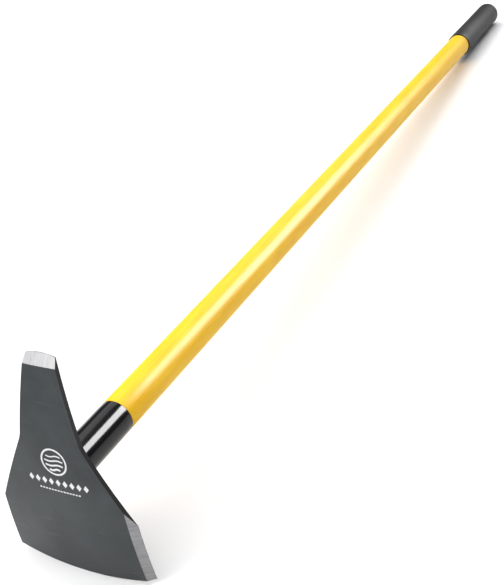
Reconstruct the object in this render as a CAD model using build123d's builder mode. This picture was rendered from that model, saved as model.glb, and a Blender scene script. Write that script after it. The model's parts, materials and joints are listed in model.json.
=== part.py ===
from build123d import *

import os
from math import asin, atan2, cos, hypot, radians, sin, sqrt

# Grub hoe: a dished steel blade, narrow at the top and wide at the digging edge, welded to a tube socket
# on a long hollow handle. Millimetres, +Z up. It lies at rest: the blade stands on its curved edge and
# the grip touches the ground. The handle runs towards +Y and X is across the blade. The origin is the
# centre of the footprint on the ground.

# Blade: heights are measured along it from the handle's axis.
blade_thickness = 4.7
dish_radius = 661.0
tip_half, tip_side_y, tip_y = 16.6, 125.9, 128.5
neck_half, neck_y, neck_round = 33.7, 42.0, 30.0
shoulder_half, shoulder_y, shoulder_round = 76.0, -38.0, 1.5
toe_half, toe_side_y, toe_y = 79.2, -105.9, -113.8
tip_bevel, side_bevel, toe_bevel = 10.8, 7.9, 11.3
toe_land, toe_bevel_half, toe_bevel_side_y = 0.6, 77.0, -106.1
blank_depth = 40.0

# Socket and weld: the handle leans by this many degrees from the blade's normal towards the narrow end.
handle_rise = 3.77
socket_r, socket_bore_r, socket_end, socket_edge = 19.05, 16.65, 100.5, 0.4
weld_leg, weld_crown = 6.5, 1.0

# Handle pieces: stations are measured along the axis from the blade's front.
handle_r, handle_bore_r, handle_edge = 19.05, 15.0, 1.2
glue_gap = 0.1
tenon_start, tenon_depth, tenon_edge = 12.0, 140.0, 2.0
grip_r, grip_length, grip_end = 21.0, 209.0, 1479.0
grip_tip, grip_round, grip_lip = 6.0, 9.0, 0.8
plug_depth, plug_flange = 28.0, 2.2

# Screws that lock the tenon, driven from below.
near_blade_station, near_handle_station = 38.0, 74.0
screw_r, screw_bite, screw_point = 2.5, 14.0, 1.5
head_r, head_rise, head_sink, flat_edge = 4.8, 1.5, 1.5, 0.2


def dish_drop(x, y, depth=0.0):
    """How far a face of the dish, at some depth behind the front one, lies below the crown."""
    return dish_radius - sqrt((dish_radius - depth) ** 2 - x**2 - y**2)


# The handle slopes down until the rounded end of the grip touches the ground.
rise = radians(handle_rise)
toe_drop = dish_drop(0, toe_y) + toe_land
toe_along = toe_y * sin(rise) + toe_drop * cos(rise)
toe_below = -toe_y * cos(rise) + toe_drop * sin(rise)
grip_rest = grip_end - grip_round
reach = grip_rest - toe_along
fall = toe_below - (grip_r - grip_round)
slope = atan2(fall, reach) - asin(grip_round / hypot(fall, reach))
lean = rise + slope

# The crown, where the handle's axis meets the front of the blade.
crown_z = toe_along * sin(slope) + toe_below * cos(slope)
blade_back = dish_radius * (1 - cos(lean))
handle_front = grip_rest * cos(slope) + (grip_r - grip_round) * sin(slope) + grip_round
crown = Vector(0, (blade_back - handle_front) / 2, crown_z)

blade_plane = Plane(crown, x_dir=(1, 0, 0), z_dir=(0, -cos(lean), sin(lean)))
handle_plane = Plane(crown, x_dir=(1, 0, 0), z_dir=(0, cos(slope), -sin(slope)))
along_handle = Axis(crown, handle_plane.z_dir)
dish_centre = blade_plane.from_local_coords((0, 0, -dish_radius))
back_radius = dish_radius - blade_thickness
dish_turn = (0, 90, 0)
handle_end = grip_end - grip_tip - plug_flange
grip_start = grip_end - grip_length


def front(x, y):
    return blade_plane.from_local_coords((x, y, -dish_drop(x, y)))


def back(x, y):
    return blade_plane.from_local_coords((x, y, -dish_drop(x, y, blade_thickness)))


def sphere_through(edge, foot, corner):
    """Height and depth of the centre, and radius, of a sphere through two points at x = 0 and one pair aside.

    Points are (x, height, depth) in the blade's plane. The centre is on x = 0.
    """
    rows = []
    for point in (edge, corner):
        squares = sum(a**2 - b**2 for a, b in zip(point, foot))
        rows.append((2 * (point[1] - foot[1]), 2 * (point[2] - foot[2]), squares))
    (a, b, c), (d, e, f) = rows
    height = (c * e - b * f) / (a * e - b * d)
    depth = (a * f - c * d) / (a * e - b * d)
    return height, depth, hypot(foot[1] - height, foot[2] - depth)


def bevel_plane(edge_start, edge_end, inner):
    """Plane of a ground bevel, from a cutting edge on the back to a line on the front, facing outwards."""
    normal = (edge_end - edge_start).cross(inner - edge_start).normalized()
    if normal.dot(blade_plane.z_dir) < 0:
        normal = -normal
    return Plane(edge_start, z_dir=normal)


def screw_plane(station):
    """Plane across a screw at the bottom of its hole, facing down to its head."""
    bottom = handle_plane.from_local_coords((0, socket_r - screw_bite, station))
    return Plane(bottom, x_dir=(1, 0, 0), z_dir=handle_plane.y_dir)


# Blade
with BuildPart() as blade:
    with BuildSketch(blade_plane):
        with BuildLine():
            right_side = FilletPolyline(
                (tip_half, tip_side_y),
                (neck_half, neck_y),
                (shoulder_half, shoulder_y),
                (toe_half, toe_side_y),
                radius=[neck_round, shoulder_round],
            )
            mirror(right_side, about=Plane.YZ)
            ThreePointArc((-tip_half, tip_side_y), (0, tip_y), (tip_half, tip_side_y))
            ThreePointArc((-toe_half, toe_side_y), (0, toe_y), (toe_half, toe_side_y))
        make_face()
    extrude(amount=blank_depth, both=True)
    with Locations(dish_centre):
        Sphere(dish_radius, rotation=dish_turn, mode=Mode.INTERSECT)
        Sphere(back_radius, rotation=dish_turn, mode=Mode.SUBTRACT)
    # The curved digging edge is ground on the handle's side, to a thin land. The grind runs out at the corners.
    grind_y, grind_z, grind_r = sphere_through(
        (0, toe_y, -toe_drop),
        (0, toe_y + toe_bevel, -dish_drop(0, toe_y + toe_bevel, blade_thickness)),
        (toe_bevel_half, toe_bevel_side_y, -dish_drop(toe_bevel_half, toe_bevel_side_y, blade_thickness)),
    )
    with Locations(blade_plane.from_local_coords((0, grind_y, grind_z))):
        Sphere(grind_r, rotation=dish_turn, mode=Mode.SUBTRACT)
    # The narrow end and the right side are ground from the front.
    split(
        bisect_by=bevel_plane(back(-tip_half, tip_y), back(tip_half, tip_y), front(0, tip_y - tip_bevel)),
        keep=Keep.BOTTOM,
    )
    inner_half = (shoulder_half + toe_half) / 2 - side_bevel
    middle_y = (shoulder_y + toe_side_y) / 2
    split(
        bisect_by=bevel_plane(
            back(shoulder_half, shoulder_y),
            back(toe_half, toe_side_y),
            front(inner_half, middle_y),
        ),
        keep=Keep.BOTTOM,
    )
blade.part.label = "blade"

# Socket: a tube coped to the back of the blade, with a screw hole at each station in its underside.
with BuildPart() as socket:
    with BuildSketch(handle_plane):
        Circle(socket_r)
        Circle(socket_bore_r, mode=Mode.SUBTRACT)
    extrude(amount=socket_end)
    chamfer(socket.faces().sort_by(along_handle)[-1].edges(), socket_edge)
    with Locations(dish_centre):
        Sphere(back_radius, rotation=dish_turn, mode=Mode.INTERSECT)
    for station in (near_blade_station, near_handle_station):
        with BuildSketch(screw_plane(station)):
            Circle(screw_r + glue_gap)
        extrude(amount=socket_r, mode=Mode.SUBTRACT)
socket.part.label = "socket"

# Weld bead: a convex fillet all round the foot of the socket.
bead_r = socket_r + weld_leg
bead_top = blade_thickness + weld_leg
bead_swell = (socket_r + weld_leg / 2 + weld_crown, blade_thickness + weld_leg / 2 + weld_crown)
with BuildPart() as weld_bead:
    with BuildSketch(Plane(crown, x_dir=(1, 0, 0), z_dir=handle_plane.y_dir)):
        with BuildLine():
            Polyline((socket_r, -bead_top), (socket_r, 0), (bead_r, 0), (bead_r, -blade_thickness))
            ThreePointArc((bead_r, -blade_thickness), (bead_swell[0], -bead_swell[1]), (socket_r, -bead_top))
        make_face()
    revolve(axis=along_handle)
    with Locations(dish_centre):
        Sphere(back_radius, rotation=dish_turn, mode=Mode.INTERSECT)
weld_bead.part.label = "weld_bead"

# Tenon: a stepped hardwood plug, glued into the socket and into the handle.
with BuildPart() as tenon:
    with BuildSketch(handle_plane.offset(tenon_start)):
        Circle(socket_bore_r - glue_gap)
    extrude(amount=socket_end - tenon_start)
    with BuildSketch(handle_plane.offset(socket_end)):
        Circle(handle_bore_r - glue_gap)
    extrude(amount=tenon_depth)
    end_faces = tenon.faces().sort_by(along_handle)
    chamfer((end_faces[0].edges(), end_faces[-1].edges()), tenon_edge)
    for station in (near_blade_station, near_handle_station):
        with BuildSketch(screw_plane(station)):
            Circle(screw_r)
        extrude(amount=socket_r, mode=Mode.SUBTRACT)
tenon.part.label = "tenon"


def screw(station):
    """Domed screw, from the bottom of its hole in the tenon to its head seated round the socket."""
    base = screw_plane(station)
    down = Axis(base.origin, base.z_dir)
    with BuildPart() as made:
        with BuildSketch(base.offset(screw_bite - head_sink)):
            Circle(head_r)
        extrude(amount=head_sink + head_rise)
        fillet(made.faces().sort_by(down)[-1].edges(), head_rise - flat_edge)
        with BuildSketch(handle_plane):
            Circle(socket_r)
        extrude(amount=socket_end, mode=Mode.SUBTRACT)
        with BuildSketch(base):
            Circle(screw_r)
        extrude(amount=screw_bite)
        chamfer(made.faces().sort_by(down)[0].edges(), screw_point)
    return made.part


screw_near_blade = screw(near_blade_station)
screw_near_blade.label = "screw_near_blade"
screw_near_handle = screw(near_handle_station)
screw_near_handle.label = "screw_near_handle"

# Handle: a hollow fibreglass tube, flush with the socket.
with BuildPart() as handle_tube:
    with BuildSketch(handle_plane.offset(socket_end)):
        Circle(handle_r)
        Circle(handle_bore_r, mode=Mode.SUBTRACT)
    extrude(amount=handle_end - socket_end)
    chamfer(handle_tube.edges().filter_by(GeomType.CIRCLE).group_by(SortBy.RADIUS)[-1], handle_edge)
handle_tube.part.label = "handle_tube"

# Plug that closes the far end of the tube.
with BuildPart() as tip_plug:
    with BuildSketch(handle_plane.offset(handle_end)):
        Circle(handle_r - handle_edge)
    extrude(amount=plug_flange)
    with BuildSketch(handle_plane.offset(handle_end)):
        Circle(handle_bore_r - glue_gap)
    extrude(amount=-plug_depth)
tip_plug.part.label = "tip_plug"

# Grip: a thick slip-on cap with a rounded tip.
with BuildPart() as end_grip:
    with BuildSketch(handle_plane.offset(grip_start)):
        Circle(grip_r)
    extrude(amount=grip_length)
    rims = end_grip.edges().filter_by(GeomType.CIRCLE).sort_by(along_handle)
    fillet(rims[-1], grip_round)
    fillet(end_grip.edges().filter_by(GeomType.CIRCLE).sort_by(along_handle)[0], grip_lip)
    with BuildSketch(handle_plane.offset(grip_start)):
        Circle(handle_r)
    extrude(amount=grip_length - grip_tip, mode=Mode.SUBTRACT)
end_grip.part.label = "end_grip"

os.makedirs("parts", exist_ok=True)
export_step(blade.part, "parts/blade.step")
export_step(socket.part, "parts/socket.step")
export_step(weld_bead.part, "parts/weld_bead.step")
export_step(tenon.part, "parts/tenon.step")
export_step(screw_near_blade, "parts/screw_near_blade.step")
export_step(screw_near_handle, "parts/screw_near_handle.step")
export_step(handle_tube.part, "parts/handle_tube.step")
export_step(tip_plug.part, "parts/tip_plug.step")
export_step(end_grip.part, "parts/end_grip.step")
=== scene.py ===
import json
from math import asin, atan2, cos, hypot, pi, radians, sin, sqrt

import bmesh
import bpy
from mathutils import Matrix, Vector


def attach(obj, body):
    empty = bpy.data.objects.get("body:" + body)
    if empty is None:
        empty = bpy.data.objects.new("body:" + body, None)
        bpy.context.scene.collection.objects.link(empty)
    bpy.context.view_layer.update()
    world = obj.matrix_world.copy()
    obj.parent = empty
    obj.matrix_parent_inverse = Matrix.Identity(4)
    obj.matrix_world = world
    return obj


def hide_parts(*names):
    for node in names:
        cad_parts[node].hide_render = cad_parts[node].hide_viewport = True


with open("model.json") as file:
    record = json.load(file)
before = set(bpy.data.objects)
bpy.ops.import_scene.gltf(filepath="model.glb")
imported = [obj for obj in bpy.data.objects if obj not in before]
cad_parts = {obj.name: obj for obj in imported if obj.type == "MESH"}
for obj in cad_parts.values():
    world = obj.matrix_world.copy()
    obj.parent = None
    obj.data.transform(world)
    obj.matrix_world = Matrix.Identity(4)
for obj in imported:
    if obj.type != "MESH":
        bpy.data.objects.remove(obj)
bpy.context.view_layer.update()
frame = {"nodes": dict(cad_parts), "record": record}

mm = 0.001
scene = bpy.context.scene

# Where things are: the grip's mount lies on the handle's axis,
# and the blade leans by handleRise from square to it.
layout = {
    "gripMiddle": 1370.4 * mm,  # station of the grip's mount, measured from the front of the blade
    "handleRise": radians(3.77),
    "dishRadius": 661.0 * mm,
    "plate": 4.7 * mm,
    "socketEnd": 100.5 * mm,
    "tubeRadius": 19.05 * mm,
    "stationPasses": 4,
}
gripMount = next(m for m in frame["record"]["mounts"] if m["name"] == "grip_end")
axisDir = Vector(gripMount["axis"]).normalized()
crown = Vector(gripMount["pos_m"]) - axisDir * layout["gripMiddle"]
slope = atan2(-axisDir.z, axisDir.y)
lean = slope + layout["handleRise"]


def spaceOf(xDir, yDir, zDir, place):
    turned = Matrix((xDir, yDir, zDir)).transposed().to_4x4()
    return Matrix.Translation(place) @ turned


across = Vector((1, 0, 0))
bladeNormal = Vector((0, -cos(lean), sin(lean)))
handleSpace = spaceOf(across, axisDir.cross(across), axisDir, crown)  # z is the station, y is down
bladeSpace = spaceOf(across, bladeNormal.cross(across), bladeNormal, crown)  # z is out of the front
handleToBlade = bladeSpace.inverted() @ handleSpace


def dishDrop(x, y, depth=0.0):
    radius = layout["dishRadius"]
    return radius - sqrt((radius - depth) ** 2 - x * x - y * y)


def backStation(x, y):
    # station at which a line along the handle meets the back of the blade
    station = layout["plate"]
    for _ in range(layout["stationPasses"]):
        p = handleToBlade @ Vector((x, y, station))
        station += (p.z + dishDrop(p.x, p.y, layout["plate"])) / cos(layout["handleRise"])
    return station


# Shader maths: a wire is a socket that can be added, multiplied and so on.
class Wire:
    def __init__(self, tree, socket):
        self.tree = tree
        self.socket = socket

    def join(self, operation, first, second, clamp=False):
        node = self.tree.nodes.new("ShaderNodeMath")
        node.operation = operation
        node.use_clamp = clamp
        for place, value in zip(node.inputs, (first, second)):
            if isinstance(value, Wire):
                self.tree.links.new(value.socket, place)
            else:
                place.default_value = value
        return Wire(self.tree, node.outputs[0])

    def __add__(self, other):
        return self.join("ADD", self, other)

    def __radd__(self, other):
        return self.join("ADD", other, self)

    def __sub__(self, other):
        return self.join("SUBTRACT", self, other)

    def __rsub__(self, other):
        return self.join("SUBTRACT", other, self)

    def __mul__(self, other):
        return self.join("MULTIPLY", self, other)

    def __rmul__(self, other):
        return self.join("MULTIPLY", other, self)

    def clamped(self):
        return self.join("ADD", self, 0.0, clamp=True)


class Network:
    def __init__(self, tree):
        self.tree = tree

    def node(self, kind, settings=None, sockets=None, output=0):
        made = self.tree.nodes.new("ShaderNode" + kind)
        for name, value in (settings or {}).items():
            setattr(made, name, value)
        for name, value in (sockets or {}).items():
            if isinstance(value, Wire):
                self.tree.links.new(value.socket, made.inputs[name])
            else:
                made.inputs[name].default_value = value
        return Wire(self.tree, made.outputs[output])

    def end(self, shader):
        last = next(n for n in self.tree.nodes if n.type.startswith("OUTPUT"))
        self.tree.links.new(shader.socket, last.inputs["Surface"])


class Finish(Network):
    def __init__(self, name, **constants):
        self.material = bpy.data.materials.new(name)
        self.material.use_nodes = True
        super().__init__(self.material.node_tree)
        self.shader = self.tree.nodes["Principled BSDF"]
        for socket, value in constants.items():
            self.shader.inputs[socket.replace("_", " ")].default_value = value

    def place(self, space, scale=(1, 1, 1)):
        # object coordinates as seen from a space on the object, stretched
        found = self.node("TexCoord", output="Object")
        turn = space.to_3x3().to_euler()
        moved = self.node(
            "Mapping",
            {"vector_type": "TEXTURE"},
            {"Vector": found, "Location": space.translation, "Rotation": turn},
        )
        return self.node("Mapping", {}, {"Vector": moved, "Scale": scale})

    def noise(self, vector, scale, detail=3.0, roughness=0.5):
        sockets = {"Vector": vector, "Scale": scale, "Detail": detail, "Roughness": roughness}
        return self.node("TexNoise", {}, sockets)

    def range(self, value, low, high, toLow=0.0, toHigh=1.0):
        sockets = {0: value, 1: low, 2: high, 3: toLow, 4: toHigh}
        return self.node("MapRange", {"clamp": True}, sockets)

    def mix(self, factor, first, second):
        sockets = {0: factor, 6: first, 7: second}
        return self.node("Mix", {"data_type": "RGBA"}, sockets, output=2)

    def bump(self, height, distance, strength=1.0):
        sockets = {"Height": height, "Distance": distance, "Strength": strength}
        self.feed("Normal", self.node("Bump", {}, sockets))

    def feed(self, socket, wire):
        self.tree.links.new(wire.socket, self.shader.inputs[socket])


def bladePaint(name, paint):
    made = Finish(name, IOR=1.48, Specular_IOR_Level=paint["specular"])
    at = made.place(bladeSpace)
    cloud = made.noise(at, 14.0, 4.0, 0.55)
    speckle = made.noise(at, 900.0, 2.0)
    peel = made.noise(at, 420.0, 2.0)
    rub = made.noise(made.place(bladeSpace, (0.5, 3.0, 1.0)), 38.0, 5.0, 0.65)
    tone = made.range(cloud * 0.8 + speckle * 0.2, 0.35, 0.65)
    rubbed = made.range(rub, 0.62, 0.72, 0.0, paint["rub"])
    coat = made.mix(tone, paint["dark"], paint["light"])
    uneven = (cloud - 0.5) * 0.12 + (speckle - 0.5) * 0.08 + rubbed * 0.1
    made.feed("Base Color", made.mix(rubbed, coat, paint["bare"]))
    made.feed("Roughness", (paint["rough"] + uneven).clamped())
    made.bump(peel * 0.7 + speckle * 0.3, 0.05 * mm, 0.35)
    return made.material


def groundSteel(name, steel):
    made = Finish(name, IOR=2.5, Metallic=1.0)
    lines = made.noise(made.place(bladeSpace, steel["stretch"]), 1.0, 3.0, 0.6)
    coarse = made.noise(made.place(bladeSpace, tuple(s * 0.22 for s in steel["stretch"])), 1.0, 2.0)
    stain = made.noise(made.place(bladeSpace), 60.0, 4.0, 0.6)
    tone = made.range(lines * 0.6 + coarse * 0.25 + stain * 0.15, 0.35, 0.65)
    made.feed("Base Color", made.mix(tone, steel["dark"], steel["light"]))
    made.feed("Roughness", (steel["rough"] + (lines - 0.5) * 0.3 + (stain - 0.5) * 0.1).clamped())
    made.bump(lines * 0.7 + coarse * 0.3, 0.06 * mm, 0.6)
    return made.material


def enamel(name, space, paint):
    made = Finish(name, IOR=1.5, Specular_IOR_Level=paint["specular"], Coat_Roughness=0.04)
    at = made.place(space)
    dust = made.noise(at, 1300.0, 2.0)
    peel = made.noise(at, 260.0, 2.0, 0.45)
    cloud = made.noise(at, 30.0, 3.0)
    made.feed("Base Color", made.mix(made.range(dust, 0.66, 0.74), paint["colour"], paint["dust"]))
    made.feed("Roughness", (paint["rough"] + (cloud - 0.5) * 0.08).clamped())
    made.feed("Coat Weight", (0.02 + cloud * 0.04).clamped())
    made.bump(peel, 0.05 * mm, paint["peel"])
    return made.material


def fibreglass(name, resin):
    gloss = {"Specular_IOR_Level": resin["specular"], "Coat_Roughness": resin["coatRough"]}
    made = Finish(name, IOR=1.5, **gloss)
    fibres = made.noise(made.place(handleSpace, (1400.0, 1400.0, 22.0)), 1.0, 4.0, 0.6)
    strands = made.noise(made.place(handleSpace, (420.0, 420.0, 16.0)), 1.0, 3.0, 0.5)
    cloud = made.noise(made.place(handleSpace, (60.0, 60.0, 14.0)), 1.0, 3.0, 0.5)
    tone = made.range(fibres * 0.35 + strands * 0.3 + cloud * 0.35, 0.38, 0.62)
    body = made.mix(tone, resin["deep"], resin["bright"])
    made.feed("Base Color", made.mix(made.range(fibres, 0.62, 0.74, 0.0, 0.35), body, resin["glass"]))
    made.feed("Roughness", (resin["rough"] + (strands - 0.5) * 0.12).clamped())
    made.feed("Coat Weight", (0.07 + (cloud - 0.5) * 0.10).clamped())
    made.bump(fibres * 0.4 + strands * 0.6, 0.06 * mm, 0.25)
    return made.material


def softVinyl(name, vinyl):
    made = Finish(name, IOR=1.5, Specular_IOR_Level=vinyl["specular"])
    at = made.place(handleSpace)
    pits = made.noise(at, 1100.0, 3.0, 0.6)
    grain = made.noise(at, 420.0, 3.0)
    haze = made.noise(at, 24.0, 3.0)
    tone = made.range(haze * 0.7 + pits * 0.3, 0.35, 0.65)
    made.feed("Base Color", made.mix(tone, vinyl["dark"], vinyl["light"]))
    made.feed("Roughness", (vinyl["rough"] + (haze - 0.5) * 0.15 + (grain - 0.5) * 0.1).clamped())
    made.bump(pits * 0.6 + grain * 0.4, 0.25 * mm, 0.5)
    return made.material


def turnedWood(name, wood):
    made = Finish(name, IOR=1.45, Specular_IOR_Level=0.3)
    grain = made.noise(made.place(handleSpace, (500.0, 160.0, 9.0)), 1.0, 5.0, 0.6)
    at = made.place(handleSpace, (110.0, 40.0, 4.0))
    sockets = {"Vector": at, "Scale": 1.0, "Distortion": 3.0, "Detail": 3.0}
    rings = made.node("TexWave", {"wave_type": "BANDS"}, sockets, output="Fac")
    tone = made.range(grain * 0.5 + rings * 0.5, 0.2, 0.8)
    made.feed("Base Color", made.mix(tone, wood["dark"], wood["light"]))
    made.feed("Roughness", (0.62 + (grain - 0.5) * 0.2).clamped())
    made.bump(grain, 0.15 * mm, 0.5)
    return made.material


def printInk(name, ink):
    made = Finish(name, IOR=1.45, Specular_IOR_Level=0.4)
    thin = made.noise(made.place(bladeSpace), 700.0, 3.0, 0.7)
    made.feed("Base Color", made.mix(made.range(thin, 0.3, 0.7), ink["thin"], ink["full"]))
    made.feed("Roughness", (0.42 + (thin - 0.5) * 0.2).clamped())
    made.bump(thin, 0.02 * mm, 0.4)
    return made.material


finishes = {
    "blade": bladePaint("bladeEnamel", {
        "dark": (0.022, 0.027, 0.029, 1), "light": (0.050, 0.057, 0.059, 1),
        "bare": (0.11, 0.11, 0.11, 1),
        "rough": 0.42, "specular": 0.27, "rub": 0.35,
    }),
    # the cut edge walls take a darker copy of the blade enamel: painted shade for walls that face away
    # from the light
    "edge": bladePaint("edgeEnamelPaintedShade", {
        "dark": (0.004, 0.004, 0.005, 1), "light": (0.008, 0.008, 0.009, 1),
        "bare": (0.03, 0.03, 0.03, 1),
        "rough": 0.35, "specular": 0.25, "rub": 0.3,
    }),
    "tipSteel": groundSteel("groundTip", {
        "dark": (0.28, 0.28, 0.285, 1), "light": (0.42, 0.42, 0.425, 1), "rough": 0.40,
        "stretch": (2600.0, 130.0, 130.0),
    }),
    # side bevel: ground steel like the tip's, with grind lines along the side; its darker colours are
    # painted shade for the right side, which faces away from the light
    "shadedSideSteel": groundSteel("groundSidePaintedShade", {
        "dark": (0.17, 0.17, 0.175, 1), "light": (0.36, 0.36, 0.365, 1), "rough": 0.45,
        "stretch": (110.0, 2600.0, 110.0),
    }),
    "toeSteel": groundSteel("groundToe", {
        "dark": (0.30, 0.30, 0.31, 1), "light": (0.55, 0.55, 0.56, 1), "rough": 0.38,
        "stretch": (2600.0, 130.0, 130.0),
    }),
    "socket": enamel("socketEnamel", handleSpace, {
        "colour": (0.0035, 0.0035, 0.0045, 1), "dust": (0.012, 0.012, 0.014, 1),
        "rough": 0.15, "specular": 0.28, "peel": 0.08,
    }),
    "weld": enamel("weldEnamel", handleSpace, {
        "colour": (0.0045, 0.0045, 0.005, 1), "dust": (0.03, 0.03, 0.03, 1), "rough": 0.24,
        "specular": 0.45, "peel": 0.5,
    }),
    "handle": fibreglass("handleFibreglass", {
        "deep": (0.88, 0.46, 0.005, 1), "bright": (0.96, 0.59, 0.012, 1),
        "glass": (0.82, 0.64, 0.12, 1),
        "rough": 0.42, "coatRough": 0.25, "specular": 0.17,
    }),
    "grip": softVinyl("gripVinyl", {
        "dark": (0.004, 0.004, 0.004, 1), "light": (0.011, 0.011, 0.011, 1), "rough": 0.57,
        "specular": 0.21,
    }),
    "plug": softVinyl("plugPlastic", {
        "dark": (0.02, 0.02, 0.02, 1), "light": (0.035, 0.035, 0.035, 1), "rough": 0.5,
        "specular": 0.4,
    }),
    "wood": turnedWood("tenonWood", {
        "dark": (0.30, 0.17, 0.08, 1), "light": (0.58, 0.39, 0.22, 1),
    }),
    "ink": printInk("whiteInk", {
        "thin": (0.62, 0.63, 0.63, 1), "full": (0.86, 0.86, 0.86, 1),
    }),
}
print("finishes made:", len(finishes))


def makePiece(name, bm, space, materials, stands=(), sharp=32):
    bm.transform(space)
    for face in bm.faces:
        face.smooth = True
    for edge in bm.edges:
        edge.smooth = len(edge.link_faces) == 2 and edge.calc_face_angle(0.0) < radians(sharp)
    mesh = bpy.data.meshes.new(name)
    bm.to_mesh(mesh)
    bm.free()
    for material in materials:
        mesh.materials.append(material)
    piece = bpy.data.objects.new(name, mesh)
    scene.collection.objects.link(piece)
    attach(piece, "root")
    if stands:
        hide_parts(*stands)
    print("made", name, len(mesh.polygons), "faces")


def spinLoop(profile, steps):
    # profile points are (radius, station); a point at radius 0 becomes a pole
    bm = bmesh.new()
    ring = [bm.verts.new((r, 0, s)) for r, s in profile]
    edges = [bm.edges.new(pair) for pair in zip(ring, ring[1:] + ring[:1])]
    bmesh.ops.spin(
        bm, geom=ring + edges, cent=(0, 0, 0), axis=(0, 0, 1), dvec=(0, 0, 0),
        angle=2 * pi, steps=steps, use_merge=True, use_duplicate=False,
    )
    bmesh.ops.remove_doubles(bm, verts=bm.verts, dist=1e-6)
    bmesh.ops.recalc_face_normals(bm, faces=bm.faces)
    return bm


def roundedCorner(centre, radius, start, end, steps):
    # points of an arc, angles in degrees from the radial direction towards +station
    angles = [radians(start + (end - start) * i / steps) for i in range(steps + 1)]
    return [(centre[0] + radius * cos(a), centre[1] + radius * sin(a)) for a in angles]


def stretch(first, last, count):
    # evenly spaced points between two profile points, without the ends
    return [
        tuple(a + (b - a) * i / (count + 1) for a, b in zip(first, last))
        for i in range(1, count + 1)
    ]


# Handle: a hollow tube with a small chamfer at each end, as the CAD has it.
handle = {
    "outer": layout["tubeRadius"], "inner": 15.0 * mm, "start": layout["socketEnd"], "end": 1470.8 * mm,
    "chamfer": 1.2 * mm, "round": 0.3 * mm, "roundLow": 0.12 * mm, "steps": 128, "rings": 30,
}


def handleTube():
    r, c, q, low = (handle[k] for k in ("outer", "chamfer", "round", "roundLow"))
    s0, s1 = handle["start"], handle["end"]
    near = [(r - c, s0), (r - c + q, s0 + low), (r - low, s0 + c - q), (r, s0 + c)]
    far = [(r, s1 - c), (r - low, s1 - c + q), (r - c + q, s1 - low), (r - c, s1)]
    inside = [(handle["inner"], s1), (handle["inner"], s0)]
    profile = near + stretch(near[-1], far[0], handle["rings"]) + far + inside
    bm = spinLoop(profile, handle["steps"])
    skins = [finishes["handle"]]
    makePiece("handleTube", bm, handleSpace, skins, ["handle_tube"])


# Socket: a tube whose foot follows the back of the blade.
socket = {
    "outer": layout["tubeRadius"], "inner": 16.65 * mm, "end": layout["socketEnd"], "edge": 0.4 * mm,
    "steps": 128, "foot": 8.0 * mm, "into": 0.05 * mm,
}


def socketTube():
    r, e, s1, foot = socket["outer"], socket["edge"], socket["end"], socket["foot"]
    mouth = roundedCorner((r - e, s1 - e), e, 0, 90, 4)
    outside = [(r, 0.0), (r, foot)] + stretch((r, foot), mouth[0], 8)
    inside = [(socket["inner"], s1), (socket["inner"], foot), (socket["inner"], 0.0)]
    bm = spinLoop(outside + mouth + inside, socket["steps"])
    for v in bm.verts:
        if v.co.z < foot / 2:
            v.co.z = backStation(v.co.x, v.co.y) + socket["into"]
    makePiece("socketTube", bm, handleSpace, [finishes["socket"]], ["socket"])


# Weld: a convex fillet laid down as overlapping ripples all round.
weld = {
    "leg": 6.5 * mm, "crown": 1.0 * mm, "beads": 34, "ripple": 0.45 * mm, "steps": 272, "rows": 12,
    "sag": 0.35 * mm, "skin": 0.02 * mm, "diagonal": 0.7, "trail": 0.35, "fade": 0.12,
    "sunk": 0.55, "low": 0.8, "top": 0.98, "steep": 0.6, "shallow": 6, "foot": 0.05,
    "waves": [(0.5, 3, 1.0), (0.3, 7, 2.4)],  # size, count round the tube, shift
}


def weldBead():
    r, leg, diagonal, skin = layout["tubeRadius"], weld["leg"], weld["diagonal"], weld["skin"]
    section = []
    for i in range(weld["rows"] + 1):
        share = i / weld["rows"]
        swell = weld["crown"] * sin(pi * share)
        section.append((r + leg * (1 - share) + swell * diagonal, leg * share + swell * diagonal))
    profile = section + [(r - skin, leg * weld["top"]), (r - skin, skin)]
    bm = spinLoop(profile, weld["steps"])
    for v in bm.verts:
        angle = atan2(v.co.y, v.co.x)
        radius = hypot(v.co.x, v.co.y)
        out = (radius - r) / leg
        height = v.co.z / leg
        # each ripple is an arc that trails behind its middle, steep in front and shallow behind
        phase = (angle * weld["beads"] / (2 * pi) + weld["trail"] * (1 - (out - height) ** 2)) % 1.0
        inside = max(0.0, min(1.0, 4 * min(out + weld["fade"], height + weld["fade"])))
        lift = weld["ripple"] * phase ** weld["steep"] * (1 - phase ** weld["shallow"]) * inside
        wave = sum(size * sin(count * angle + shift) for size, count, shift in weld["waves"])
        grow = lift + weld["sag"] * wave * (out + height) * 0.5
        inset = weld["ripple"] * weld["sunk"] if out > 0.0 else 0.0
        radius = max(r - skin, radius + grow * diagonal - inset)
        raised = height > weld["foot"]
        rise = (grow - weld["ripple"] * weld["low"]) * diagonal if raised else 0.0
        stand = max(0.0, v.co.z + rise)
        v.co.x, v.co.y = radius * cos(angle), radius * sin(angle)
        v.co.z = backStation(v.co.x, v.co.y) + stand
    skins = [finishes["weld"]]
    makePiece("weldRing", bm, handleSpace, skins, ["weld_bead"], sharp=60)


# Grip: a thick cap pushed over the end of the handle.
grip = {
    "outer": 21.0 * mm, "bore": layout["tubeRadius"], "start": 1270.0 * mm, "end": 1479.0 * mm,
    "round": 9.0 * mm, "lip": 0.8 * mm, "wall": 6.0 * mm, "steps": 128,
}


def endGrip():
    r, lip, big = grip["outer"], grip["lip"], grip["round"]
    s0, s1 = grip["start"], grip["end"]
    mouth = roundedCorner((r - lip, s0 + lip), lip, -90, 0, 5)
    tip = roundedCorner((r - big, s1 - big), big, 0, 90, 14)
    middle = stretch(mouth[-1], tip[0], 16)
    cap = stretch(tip[-1], (0.0, s1), 3)
    bottom = s1 - grip["wall"]
    inside = [(0.0, s1), (0.0, bottom), (grip["bore"], bottom), (grip["bore"], s0)]
    bm = spinLoop(mouth + middle + tip + cap + inside, grip["steps"])
    makePiece("endGrip", bm, handleSpace, [finishes["grip"]], ["end_grip"])


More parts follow.
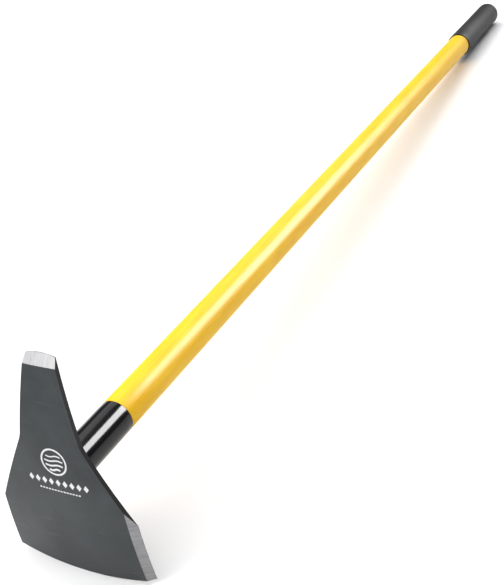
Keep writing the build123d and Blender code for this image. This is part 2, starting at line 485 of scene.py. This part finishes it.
# Blade: its outline in the blade's own plane, then a front and a back height for every point.
blade = {
    "tipHalf": 16.6, "tipSide": 125.6, "tip": 128.0, "neckHalf": 33.7, "neck": 42.0, "neckRound": 30.0,
    "shoulderHalf": 76.0, "shoulder": -38.0, "shoulderRound": 1.5, "toeHalf": 79.2, "toeSide": -105.9,
    "toe": -113.8, "tipBevel": 10.8, "sideBevel": 7.9, "toeBevel": 9.6, "land": 0.25, "toeLand": 0.6,
    "grid": 4.0, "arris": 0.3, "arrisFrom": 2.2 * mm, "cutOffset": (1.2, 1.3), "sideReach": 20.0,
}


def arcPoints(half, side, middle, count):
    # points of the arc through (-half, side), (0, middle) and (half, side), from right to left
    rise = middle - side
    radius = (half * half + rise * rise) / (2 * rise)
    turn = asin(half / radius)
    angles = [turn * (1 - 2 * i / count) for i in range(count + 1)]
    return [(radius * sin(a), middle - radius * (1 - cos(a))) for a in angles]


def roundOffset(before, corner, after, radius):
    # how far from a corner a rounding of that radius starts
    u = (Vector(before) - Vector(corner)).normalized()
    w = (Vector(after) - Vector(corner)).normalized()
    cosine = u.dot(w)
    return radius * sqrt((1 + cosine) / (1 - cosine))


def bladeShare(x, y):
    # share of the plate ground off the front, and depth ground off the back, at a point in millimetres
    b, plate = blade, layout["plate"] / mm
    most = 1 - b["land"] / plate
    tip = (y - (b["tip"] - b["tipBevel"])) / b["tipBevel"]
    slant = (b["toeHalf"] - b["shoulderHalf"]) / (b["toeSide"] - b["shoulder"])
    edge = b["shoulderHalf"] + (y - b["shoulder"]) * slant
    side = (x - (edge - b["sideBevel"])) / b["sideBevel"] if y < b["shoulder"] + b["sideReach"] else 0.0
    front = max(0.0, min(most, max(tip, side)))
    crease = b["toe"] + b["toeBevel"]
    depth = (plate - b["toeLand"]) / b["toeBevel"] * (crease - y)
    back = max(0.0, min(depth, plate * (1 - front) - b["land"]))
    return front, back


def isShoulder(point):
    near = 1e-4
    level = abs(point.y - blade["shoulder"]) < near
    return level and abs(abs(point.x) - blade["shoulderHalf"]) < near


def longestWallEdge(vert):
    # how far the cut edge of the plate runs from a point on its rim
    walls = [e for e in vert.link_edges if all(f.material_index == 1 for f in e.link_faces)]
    return max((e.calc_length() for e in walls), default=0.0)


def isArris(edge):
    # where a face meets the cut edge squarely, and the plate is still thick
    meets = {f.material_index == 1 for f in edge.link_faces} == {True, False}
    steep = edge.calc_face_angle(0) > radians(50)
    return meets and steep and min(longestWallEdge(v) for v in edge.verts) > blade["arrisFrom"]


def bladePlate():
    b = blade
    corners = {
        "neckRight": (b["neckHalf"], b["neck"]), "shoulderRight": (b["shoulderHalf"], b["shoulder"]),
        "shoulderLeft": (-b["shoulderHalf"], b["shoulder"]), "neckLeft": (-b["neckHalf"], b["neck"]),
    }
    tip = arcPoints(b["tipHalf"], b["tipSide"], b["tip"], 12)
    toe = arcPoints(b["toeHalf"], b["toeSide"], b["toe"], 40)
    bm = bmesh.new()
    tipVerts = [bm.verts.new((x, y, 0)) for x, y in reversed(tip)]
    right = [bm.verts.new((*corners[k], 0)) for k in ("neckRight", "shoulderRight")]
    toeVerts = [bm.verts.new((x, y, 0)) for x, y in toe]
    left = [bm.verts.new((*corners[k], 0)) for k in ("shoulderLeft", "neckLeft")]
    ring = tipVerts + right + toeVerts + left
    outline = [bm.edges.new(pair) for pair in zip(ring, ring[1:] + ring[:1])]
    bmesh.ops.edgeloop_fill(bm, edges=outline)

    def roundCorners(verts, offset, segments):
        bmesh.ops.bevel(
            bm, geom=verts, offset=offset, affect="VERTICES", segments=segments,
            profile=0.5, offset_type="OFFSET", material=-1,
        )

    neckOffset = roundOffset(tip[0], corners["neckRight"], corners["shoulderRight"], b["neckRound"])
    roundCorners([right[0], left[1]], neckOffset, 8)
    shoulder = corners["shoulderRight"]
    shoulderOffset = roundOffset(corners["neckRight"], shoulder, toe[0], b["shoulderRound"])
    roundCorners([v for v in bm.verts if isShoulder(v.co)], shoulderOffset, 4)

    def cut(point, normal):
        everything = bm.verts[:] + bm.edges[:] + bm.faces[:]
        bmesh.ops.bisect_plane(bm, geom=everything, dist=1e-4, plane_co=point, plane_no=normal)

    x, y = -b["toeHalf"] + b["cutOffset"][0], b["toe"] + b["cutOffset"][1]
    while y < b["tip"]:
        cut((0, y, 0), (0, 1, 0))
        y += b["grid"]
    while x < b["toeHalf"]:
        cut((x, 0, 0), (1, 0, 0))
        x += b["grid"]
    cut((0, b["tip"] - b["tipBevel"], 0), (0, 1, 0))
    cut((0, b["toe"] + b["toeBevel"], 0), (0, 1, 0))
    slant = Vector((b["toeHalf"] - b["shoulderHalf"], b["toeSide"] - b["shoulder"], 0))
    cut((b["shoulderHalf"] - b["sideBevel"], b["shoulder"], 0), (slant.y, -slant.x, 0))
    bmesh.ops.remove_doubles(bm, verts=bm.verts, dist=0.02)
    bmesh.ops.recalc_face_normals(bm, faces=bm.faces)
    if bm.faces[:][0].normal.z < 0:
        bmesh.ops.reverse_faces(bm, faces=bm.faces)
    frontFaces = bm.faces[:]
    made = bmesh.ops.duplicate(bm, geom=bm.verts[:] + bm.edges[:] + frontFaces)
    backFaces = [g for g in made["geom"] if isinstance(g, bmesh.types.BMFace)]
    bmesh.ops.reverse_faces(bm, faces=backFaces)
    backVerts = {v for f in backFaces for v in f.verts}
    plate = layout["plate"]
    for v in bm.verts:
        front, back = bladeShare(v.co.x, v.co.y)
        x, y = v.co.x * mm, v.co.y * mm
        if v in backVerts:
            v.co = (x, y, -dishDrop(x, y, plate) + back * mm)
        else:
            v.co = (x, y, -dishDrop(x, y) - front * plate)
    rims = [e for e in bm.edges if e.is_boundary]
    walls = bmesh.ops.bridge_loops(bm, edges=rims)["faces"]
    # the walls take the darker edge enamel, which paints shade onto them
    for face in walls:
        face.material_index = 1
    bmesh.ops.recalc_face_normals(bm, faces=bm.faces)
    for face in bm.faces:
        if face.material_index == 1:
            continue
        centre = face.calc_center_median() / mm
        front, back = bladeShare(centre.x, centre.y)
        if face.normal.z > 0 and front > 0.0:
            # tip bevel faces take index 2; side bevel faces take 3, the darker steel with painted shade
            face.material_index = 2 if centre.y > 0 else 3
        if face.normal.z < 0 and back > 0.0:
            face.material_index = 4
    arrises = [e for e in bm.edges if isArris(e)]
    print("arrises rounded:", len(arrises))
    bmesh.ops.bevel(
        bm, geom=arrises, offset=b["arris"] * mm, affect="EDGES", segments=2,
        profile=0.5, material=-1, clamp_overlap=True,
    )
    skins = [finishes[k] for k in ("blade", "edge", "tipSteel", "shadedSideSteel", "toeSteel")]
    makePiece("bladePlate", bm, bladeSpace, skins, ["blade"], sharp=14)


# Printed mark: a plain ring with furrows in it, over a row of lozenges and a dashed rule.
mark = {
    "centre": (1.5, 22.0), "ring": 13.5, "line": 1.8, "furrows": 4, "steps": 96, "proud": 0.05,
    "lozenges": 9, "lozengeSize": (5.6, 8.0), "lozengeRow": -23.0, "rowLength": 62.0,
    "dashes": 14, "dashSize": (2.2, 1.6), "dashRow": -32.5, "dashLength": 44.0,
    "firstFurrow": -0.62, "furrowPitch": 0.36, "furrowGap": 1.8, "wave": 0.9, "waveSteps": 28,
    "firstWidth": 1.15, "widthStep": 0.15,
}


def layOnDish(bm):
    cx, cy = mark["centre"]
    top = bmesh.ops.extrude_face_region(bm, geom=bm.faces[:])
    raised = {g for g in top["geom"] if isinstance(g, bmesh.types.BMVert)}
    for v in bm.verts:
        x, y = (v.co.x + cx) * mm, (v.co.y + cy) * mm
        lift = mark["proud"] * mm if v in raised else -mark["proud"] * mm
        v.co = (x, y, -dishDrop(x, y) + lift)
    bmesh.ops.recalc_face_normals(bm, faces=bm.faces)


def ribbon(bm, points, width):
    # a flat strip that follows a line of points, drawn out of its first cross edge
    rows = []
    for i, (x, y) in enumerate(points):
        before, after = points[max(0, i - 1)], points[min(len(points) - 1, i + 1)]
        side = Vector((before[1] - after[1], after[0] - before[0], 0)).normalized() * width / 2
        middle = Vector((x, y, 0))
        rows.append((middle - side, middle + side))
    left, right = (bm.verts.new(p) for p in rows[0])
    edge = bm.edges.new((left, right))
    for newLeft, newRight in rows[1:]:
        drawn = bmesh.ops.extrude_edge_only(bm, edges=[edge])["geom"]
        edge = next(g for g in drawn if isinstance(g, bmesh.types.BMEdge))
        left, right = sorted(edge.verts, key=lambda v: (v.co - left.co).length)
        left.co, right.co = newLeft, newRight


def spread(count, length):
    # positions of things evenly spaced over a length, about its middle
    return [length * (k / (count - 1) - 0.5) for k in range(count)]


def printedMark():
    bm = bmesh.new()
    r, line, steps = mark["ring"], mark["line"], mark["steps"]
    turns = [2 * pi * i / steps for i in range(steps + 1)]
    ribbon(bm, [(r * cos(t), r * sin(t)) for t in turns], line)
    shares = [i / mark["waveSteps"] for i in range(mark["waveSteps"] + 1)]
    for k in range(mark["furrows"]):
        base = r * (mark["firstFurrow"] + k * mark["furrowPitch"])
        half = sqrt((r - line * mark["furrowGap"]) ** 2 - base * base)
        wave = [(half * (2 * t - 1), base + mark["wave"] * sin(pi * (2 * t - 1))) for t in shares]
        ribbon(bm, wave, line * (mark["firstWidth"] - k * mark["widthStep"]))
    wide, tall = mark["lozengeSize"]
    for x in spread(mark["lozenges"], mark["rowLength"]):
        size = Matrix.Diagonal((wide / 2, tall / 2, 1, 1))
        place = Matrix.Translation((x, mark["lozengeRow"], 0)) @ size
        bmesh.ops.create_circle(bm, cap_ends=True, segments=4, radius=1.0, matrix=place)
    wide, tall = mark["dashSize"]
    for x in spread(mark["dashes"], mark["dashLength"]):
        ribbon(bm, [(x - wide / 2, mark["dashRow"]), (x + wide / 2, mark["dashRow"])], tall)
    bmesh.ops.remove_doubles(bm, verts=bm.verts, dist=1e-4)
    layOnDish(bm)
    makePiece("printedMark", bm, bladeSpace, [finishes["ink"]])


bladePlate()
printedMark()
socketTube()
weldBead()
handleTube()
endGrip()

# The pieces that stay as the CAD has them: hidden inside, or small.
for node, finish in {
    "tenon": "wood", "tip_plug": "plug", "screw_near_blade": "socket", "screw_near_handle": "socket",
}.items():
    mesh = frame["nodes"][node].data
    mesh.materials.clear()
    mesh.materials.append(finishes[finish])
print("CAD nodes finished")


# Studio: a pale floor, a soft key, an overhead panel and two panels that draw the gloss.
studio = {
    "floorSize": 14.0, "fadeStart": 1.6, "fadeEnd": 3.0,
    "floorColour": (0.88, 0.88, 0.88, 1), "worldSeen": (0.97, 0.97, 0.97, 1),
    "worldLight": (0.14, 0.14, 0.15, 1), "aim": 50 * mm,
    "lights": [
        # name, direction from the socket, distance, width, height, radiance, seen by matt surfaces
        ("key", (-0.45, -0.63, 0.64), 2.2, 1.3, 1.0, 4.2, True),
        ("overhead", (-0.18, 0.04, 0.98), 3.2, 5.4, 4.6, 2.9, True),
        ("strip", (0.415, 0.772, 0.482), 2.2, 1.05, 1.5, 28.0, False),
        ("sidePanel", (-0.365, 0.772, 0.521), 2.2, 1.3, 1.5, 1.5, True),
    ],
}
camera = {
    "offset": (0.5397, -0.4651, 0.6018), "azimuth": 32.25, "elevation": 32.9, "roll": 11.1, "lens": 60.62,
}


def buildFloor():
    bm = bmesh.new()
    bmesh.ops.create_grid(bm, x_segments=2, y_segments=2, size=studio["floorSize"] / 2)
    made = Finish("paleFloor", Roughness=0.9, Specular_IOR_Level=0.1)
    made.shader.inputs["Base Color"].default_value = studio["floorColour"]
    place = made.node("TexCoord", output="Object")
    reach = made.node("VectorMath", {"operation": "LENGTH"}, {0: place}, output="Value")
    fade = made.range(reach, studio["fadeStart"], studio["fadeEnd"])
    haze = made.node("Emission", {}, {"Color": studio["worldSeen"]})
    surface = Wire(made.tree, made.shader.outputs[0])
    made.end(made.node("MixShader", {}, {0: fade, 1: surface, 2: haze}))
    mesh = bpy.data.meshes.new("floor")
    bm.to_mesh(mesh)
    bm.free()
    mesh.materials.append(made.material)
    floor = bpy.data.objects.new("floor", mesh)
    scene.collection.objects.link(floor)


def buildLights():
    target = handleSpace @ Vector((0, 0, studio["aim"]))
    along = handleSpace.col[2].to_3d()
    for name, direction, distance, width, height, radiance, matt in studio["lights"]:
        lamp = bpy.data.lights.new(name, "AREA")
        lamp.shape = "RECTANGLE"
        lamp.size, lamp.size_y = width, height
        lamp.energy = radiance * pi * width * height
        holder = bpy.data.objects.new(name, lamp)
        away = Vector(direction).normalized()
        level = along.cross(away).normalized()   # the width runs round the handle, the height along it
        holder.matrix_world = spaceOf(level, away.cross(level), away, target + away * distance)
        holder.visible_diffuse = matt
        scene.collection.objects.link(holder)
    world = bpy.data.worlds.new("studioWorld")
    world.use_nodes = True
    sky = Network(world.node_tree)
    lit = sky.node("Background", {}, {"Color": studio["worldLight"]})
    seen = sky.node("Background", {}, {"Color": studio["worldSeen"]})
    direct = sky.node("LightPath", output="Is Camera Ray")
    sky.end(sky.node("MixShader", {}, {0: direct, 1: lit, 2: seen}))
    scene.world = world


def buildCamera():
    a, e, roll = (radians(camera[k]) for k in ("azimuth", "elevation", "roll"))
    back = Vector((sin(a) * cos(e), -cos(a) * cos(e), sin(e)))
    level = Vector((cos(a), sin(a), 0))
    upright = back.cross(level)
    right = level * cos(roll) - upright * sin(roll)
    turned = spaceOf(right, back.cross(right), back, crown + Vector(camera["offset"]))
    lens = bpy.data.cameras.new("camera")
    lens.lens = camera["lens"]
    holder = bpy.data.objects.new("camera", lens)
    holder.matrix_world = turned
    scene.collection.objects.link(holder)
    scene.camera = holder


buildFloor()
buildLights()
buildCamera()
scene.view_settings.view_transform = "Standard"
print("studio ready")
